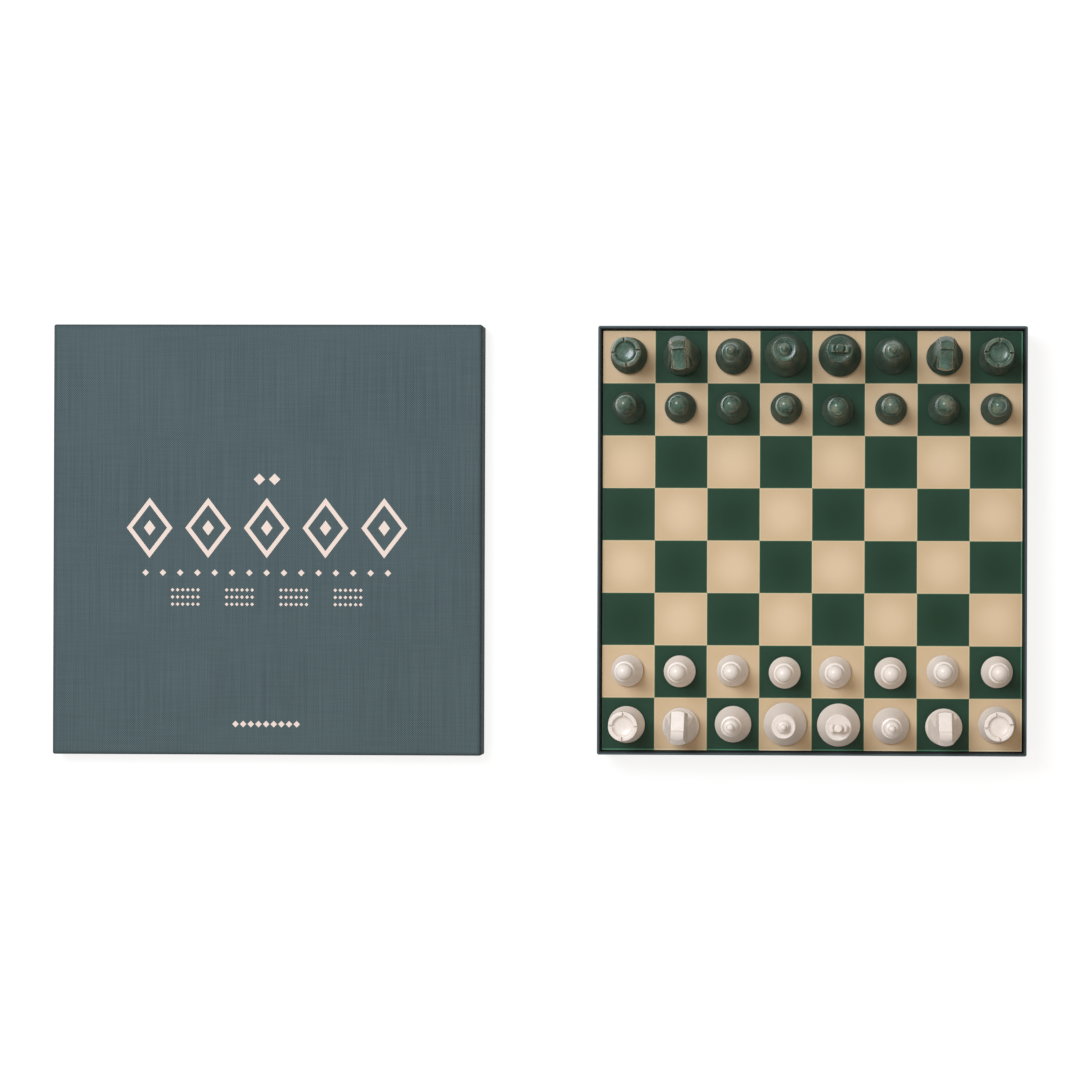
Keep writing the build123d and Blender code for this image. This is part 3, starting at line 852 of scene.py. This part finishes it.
# %% Outlines of the round pieces
round_outlines = {
    "pawn": [
        *foot(12.2), ((8.2, 12.65), (5.6, 24.6)), (7.2, 25.2), ((7.9, 25.9), (7.2, 26.6)),
        *ball(6.3, 32.0, 3.9)],
    "bishop": [
        *foot(14.0), ((8.75, 17.25), (5.3, 33.8)), (7.2, 34.6), ((7.9, 35.4), (7.2, 36.2)), (4.9, 36.8),
        ((6.3, 41.0), (4.2, 46.0)), (3.2, 46.2), (1.7, 47.4), *ball(2.9, 52.0, 1.7)],
    "queen": [
        *foot(16.5), ((10.35, 18.65), (6.4, 36.6)), (8.6, 37.8), ((9.4, 38.6), (8.6, 39.4)), (6.3, 40.2),
        ((6.9, 43.4), (9.0, 45.8)), ((8.8, 46.3), (8.3, 46.5)), (8.0, 46.3), (5.3, 46.0),
        ((4.7, 48.2), (3.5, 50.2)), (2.7, 50.4), (1.6, 51.2), *ball(2.5, 54.6, 1.6)],
    "king": [
        *foot(16.5), ((10.55, 18.85), (6.8, 37.0)), (9.2, 38.4), ((10.0, 39.2), (9.2, 40.0)), (6.8, 40.8),
        ((7.4, 43.8), (9.8, 46.2)), ((9.57, 46.77), (9.0, 47.0)), (8.7, 46.7), (5.0, 46.1), (0, 46.1)]}
shapes = {kind: turned(kind, steps) for kind, steps in round_outlines.items()}
for kind, mesh in shapes.items():
    print(kind, len(mesh.polygons), "faces")

# %% [markdown]
# ## Rook, king's cross and knight
#
# These start on the lathe too and are then cut. The rook gets four saw cuts through its rim, and the cross is
# sawn flat front and back. The knight is cut to its profile, loses a leaning slice on each side, and is turned
# round again behind its neck. Flat cuts could be bevelled one by one, but hand sanding rounds every edge alike,
# and remeshing the cut shape in cells a fraction of a millimetre wide, then smoothing it, does the same.


# %% Cutting tools
def combined(mesh, tool, operation):
    """The mesh cut by a tool, or limited to it."""
    base = as_object("cut_base", mesh)
    knife = as_object("cut_tool", tool)
    modifier = base.modifiers.new("cut", "BOOLEAN")
    modifier.operation = operation
    modifier.solver = "EXACT"
    modifier.object = knife
    result = after_modifiers(base)
    bpy.data.objects.remove(knife)
    return result


def block(name, low, high):
    """A box between two corners, in millimetres."""
    return as_mesh(name, box_between(low, high, MM))


def pushed_through(name, outline, along, reach):
    """A flat outline pushed through along X or Y, the same distance to both sides, in millimetres."""
    work = bmesh.new()
    corners = [(-reach, a, z) if along == "X" else (a, -reach, z) for a, z in outline]
    face = work.faces.new([work.verts.new(Vector(corner) * MM) for corner in corners])
    raised_by(work, [face], Vector((2 * reach, 0, 0) if along == "X" else (0, 2 * reach, 0)) * MM)
    return as_mesh(name, work)


def sanded(mesh, cell, passes=2):
    """The mesh rebuilt in small even cells and smoothed, so that its cut edges are round."""
    base = as_object("sanding", mesh)
    remesh = base.modifiers.new("cells", "REMESH")
    remesh.mode = "VOXEL"
    remesh.voxel_size = cell * MM
    smooth = base.modifiers.new("smooth", "SMOOTH")
    smooth.factor = 0.5
    smooth.iterations = passes
    result = after_modifiers(base)
    result.shade_smooth()
    return result


print("cutting tools ready")

# %% Rook
rook = turned("rook", [
    *foot(14.2), ((11.2, 12.85), (9.4, 25.0)), (10.8, 27.0), (11.2, 27.4), (11.2, 34.1), (10.8, 34.5),
    (8.4, 34.5), (8.0, 34.1), ((7.3, 32.0), (5.4, 31.1)), ((2.7, 30.75), (0, 30.7))])
for side in range(4):
    slot = block("saw_cut", (6.4, -0.8, 32.1), (12.8, 0.8, 37.3))
    slot.transform(Matrix.Rotation(side * math.pi / 2, 4, "Z"))
    rook = combined(rook, slot, "DIFFERENCE")
shapes["rook"] = sanded(rook, 0.28)
print("rook", len(shapes["rook"].polygons), "faces")

# %% Knight
PROFILE_REACH, FAR = 16, 30   # half the width of the profile's cutter, and a place well outside the blank
knight = turned("blank", [
    (13.5, 0), ((14.0, 0.2), (14.2, 0.7)), (14.0, 1.8), (12.5, 4.2), (13.0, 30.0), (13.0, 43.0), (0, 43.0)])
profile = [
    (-9.6, 38.2), (-16.0, 35.6), (-16.0, -1), (16.0, -1), (16.0, 4.2), (12.6, 4.8), (1.6, 24.6),
    *through_three((1.6, 24.6), (1.9, 26.6), (3.6, 27.4)), (12.4, 26.8),
    *through_three((12.4, 26.8), (14.0, 27.2), (15.0, 28.4)), (16.0, 30.0), (16.0, 37.0), (12.6, 37.6),
    (-1.8, 39.5), (-2.4, 41.7), *through_three((-2.4, 41.7), (-6.5, 40.7), (-9.6, 38.2))[:-1]]
knight = combined(knight, pushed_through("knight_profile", profile, "X", PROFILE_REACH), "INTERSECT")
back = turned("back", [(12.5, 0), (12.5, 4.2), (13.1, 31.5), (9.2, 38.8), (9.2, 46), (0, 46)])
waste = combined(block("behind", (-FAR, -FAR, 4.2), (FAR, 0, 45)), back, "DIFFERENCE")
knight = combined(knight, waste, "DIFFERENCE")
for side in (-1, 1):
    cheek = [(side * x, z) for x, z in ((12.1, 4.2), (FAR, 4.2), (FAR, 46), (4.7, 46), (5.0, 36))]
    knight = combined(knight, pushed_through("cheek", cheek, "Y", FAR), "DIFFERENCE")
shapes["knight"] = sanded(knight, 0.3)
print("knight", len(shapes["knight"].polygons), "faces")

# %% King's cross
cross = turned("cross", [
    (2.6, 0), ((2.9, 2.0), (5.9, 3.4)), ((6.6, 3.7), (6.9, 4.4)), (6.9, 5.6), ((6.4, 7.1), (5.3, 7.5)),
    ((4.4, 7.2), (3.6, 5.6)), (2.2, 5.8), (2.1, 9.4), (2.95, 10.4), (2.95, 11.5),
    ((2.66, 12.21), (1.95, 12.5)), (0, 12.5)], facets=72)
for half_turns in (1, 0):
    slab = block("saw_cut", (-9, 2.65, -1), (9, 9, 8.6))
    slab.transform(Matrix.Rotation(math.pi * half_turns, 4, "Z"))
    cross = combined(cross, slab, "DIFFERENCE")
shapes["cross"] = sanded(cross, 0.22)
print("cross", len(shapes["cross"].polygons), "faces")

# %% [markdown]
# ## Edges and grooves
#
# The paint needs to know where each mesh stands out. At an edge, a point's neighbours lie below its tangent
# plane; in a groove they lie above it. Averaging that over the neighbours, and then over their neighbours a few
# times, gives a smooth number that is positive on edges and negative in grooves.


# %% Mark edges and grooves
def mark_edges(mesh, spread, gain):
    """Stores how far each point stands out from its neighbours, as the attribute edge."""
    count = len(mesh.vertices)
    place = np.empty(count * 3)
    mesh.vertices.foreach_get("co", place)
    place = place.reshape(-1, 3)
    facing = np.array([v.vector for v in mesh.vertex_normals])
    pairs = np.empty(len(mesh.edges) * 2, int)
    mesh.edges.foreach_get("vertices", pairs)
    a, b = pairs.reshape(-1, 2).T
    step = place[b] - place[a]
    step /= np.maximum(np.linalg.norm(step, axis=1, keepdims=True), 1e-9)
    total, share = np.zeros(count), np.zeros(count)
    np.add.at(total, a, -(step * facing[a]).sum(1))
    np.add.at(total, b, (step * facing[b]).sum(1))
    np.add.at(share, a, 1)
    np.add.at(share, b, 1)
    value = total / np.maximum(share, 1)
    for _ in range(spread):
        near = np.zeros(count)
        np.add.at(near, a, value[b])
        np.add.at(near, b, value[a])
        value = 0.5 * value + 0.5 * near / np.maximum(share, 1)
    store = mesh.attributes.new("edge", "FLOAT", "POINT")
    store.data.foreach_set("value", (value * gain).astype(np.float32))
    return value.min() * gain, value.max() * gain


for kind, mesh in shapes.items():
    spread, gain = (1, 1.7) if kind in round_outlines else (3, 2.0)
    deepest, sharpest = mark_edges(mesh, spread, gain)
    print(kind, "edge from", round(deepest, 2), "to", round(sharpest, 2))

# %% [markdown]
# ## Set out the pieces
#
# Each CAD piece says where its own copy stands: the middle of its box, at the height of its foot. Players set
# pieces down by hand, so the cut ones are each turned a few degrees.

# %% Set out the pieces
turns = {"green_rook_a": 6.0, "green_knight_b": 4.0, "green_king": -1.5, "green_knight_g": -1.5,
         "green_rook_h": -3.0, "cream_rook_a": -2.0, "cream_knight_b": -1.5, "cream_king": 1.0,
         "cream_knight_g": 1.2, "cream_rook_h": 8.0}
paints = {"green": green_paint, "cream": cream_paint}
facings = {"green": 180, "cream": 0}
chessmen = [body for body in frame["bodies"] if body not in ("tray", "lid", "board")]
for body in chessmen:
    colour, kind = body.split("_")[:2]
    low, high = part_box(body)
    turn = math.radians(turns.get(body, 0.0) + facings[colour])
    stand = Matrix.Translation(((low.x + high.x) / 2, (low.y + high.y) / 2, low.z)) @ Matrix.Rotation(turn, 4, "Z")
    made = [(f"{body}_turned", shapes[kind], body, stand)]
    if kind == "king":
        crown = Matrix.Translation((0, 0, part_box(f"{body}_cross")[0].z - low.z))
        made.append((f"{body}_cross_cut", shapes["cross"], f"{body}_cross", stand @ crown))
    for name, shape, node, place in made:
        mesh = shape.copy()
        mesh.transform(place)
        mesh.materials.clear()
        mesh.materials.append(paints[colour])
        piece = as_object(name, mesh)
        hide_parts(node)
        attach(piece, body)
print("set out", len(chessmen), "chess pieces")

# %% [markdown]
# ## Floor and light
#
# The set lies on a white table under a large soft lamp, hung high and a little to the upper left, in a tent of
# warm white cloth that is brightest on the lamp's side. The lamp is a little cool: where both fall a colour
# is plain, and where the lamp is shaded the tent's light makes warm brown shadows. Straight overhead the tent
# is open for the camera, so the board mirrors only a dim patch and its colours stay deep. The floor is white to
# the camera and still takes the shadow of the box: a grey surface with light of its own that only the picture
# sees.


# %% Floor
REACH = 6.0               # metres from the middle to each side of the table
BELOW = -0.3 * MM         # just under the box, so that the two don't share a face


def white_table():
    """Matte white laminate that the picture shows as plain white."""
    material, tree = new_material("white_table_laminate")
    path = add(tree, "ShaderNodeLightPath", out=None)
    mirrored = add(tree, MATH, [path["Is Glossy Ray"], path["Is Transmission Ray"]], operation="MAXIMUM")
    seen = add(tree, MATH, [path["Is Camera Ray"], mirrored], operation="MAXIMUM")
    strength = add(tree, MATH, [seen, 0.84], operation="MULTIPLY")
    lift = add(tree, "ShaderNodeEmission", {"Color": linear("#FFFFFF"), "Strength": strength})
    matte = add(tree, "ShaderNodeBsdfDiffuse", {"Color": linear("#808080")})
    add(tree, OUTPUT, [add(tree, "ShaderNodeAddShader", [lift, matte])], out=None)
    return material


floor_mesh = bpy.data.meshes.new("floor")
floor_mesh.from_pydata([(x * REACH, y * REACH, BELOW) for x, y in ((-1, -1), (1, -1), (1, 1), (-1, 1))], [],
                       [(0, 1, 2, 3)])
floor_mesh.materials.append(white_table())
floor = as_object("floor", floor_mesh)
print("floor is", 2 * REACH, "m wide")

# %% Lamp
lamp = bpy.data.lights.new("key_soft_box", "AREA")
lamp.shape = "SQUARE"
lamp.size = 1.0
lamp.energy = 45.0
lamp.color = linear("#EBF4FF")[:3]
key = as_object("key_soft_box", lamp)
key.location = (-0.95, 0.72, 2.42)
key.rotation_euler = (Vector((-0.1, 0, 0)) - key.location).to_track_quat("-Z", "Y").to_euler()
print("lamp:", key.name)

# %% World
world = bpy.data.worlds.new("light_tent")
world.use_nodes = True
sky = world.node_tree
direction = add(sky, PLACE, out="Generated")
lamp_side = Vector((-0.35, 0.32, 0.88)).normalized()
towards = add(sky, "ShaderNodeVectorMath", [direction, lamp_side], out="Value", operation="DOT_PRODUCT")
tent = add(sky, REMAP, [towards, -0.5, 0.8, 0.13, 0.66], interpolation_type="SMOOTHSTEP")
up = add(sky, SPLIT, [direction], out=2)
opening = add(sky, REMAP, [up, 0.94, 0.98, 1.0, 0.35], interpolation_type="SMOOTHSTEP")
colour, strength = sky.nodes["Background"].inputs[:2]
colour.default_value = linear("#FFF0E1")
sky.links.new(add(sky, MATH, [tent, opening], operation="MULTIPLY"), strength)
bpy.context.scene.world = world
bpy.context.scene.view_settings.view_transform = "Standard"
print("world:", world.name)
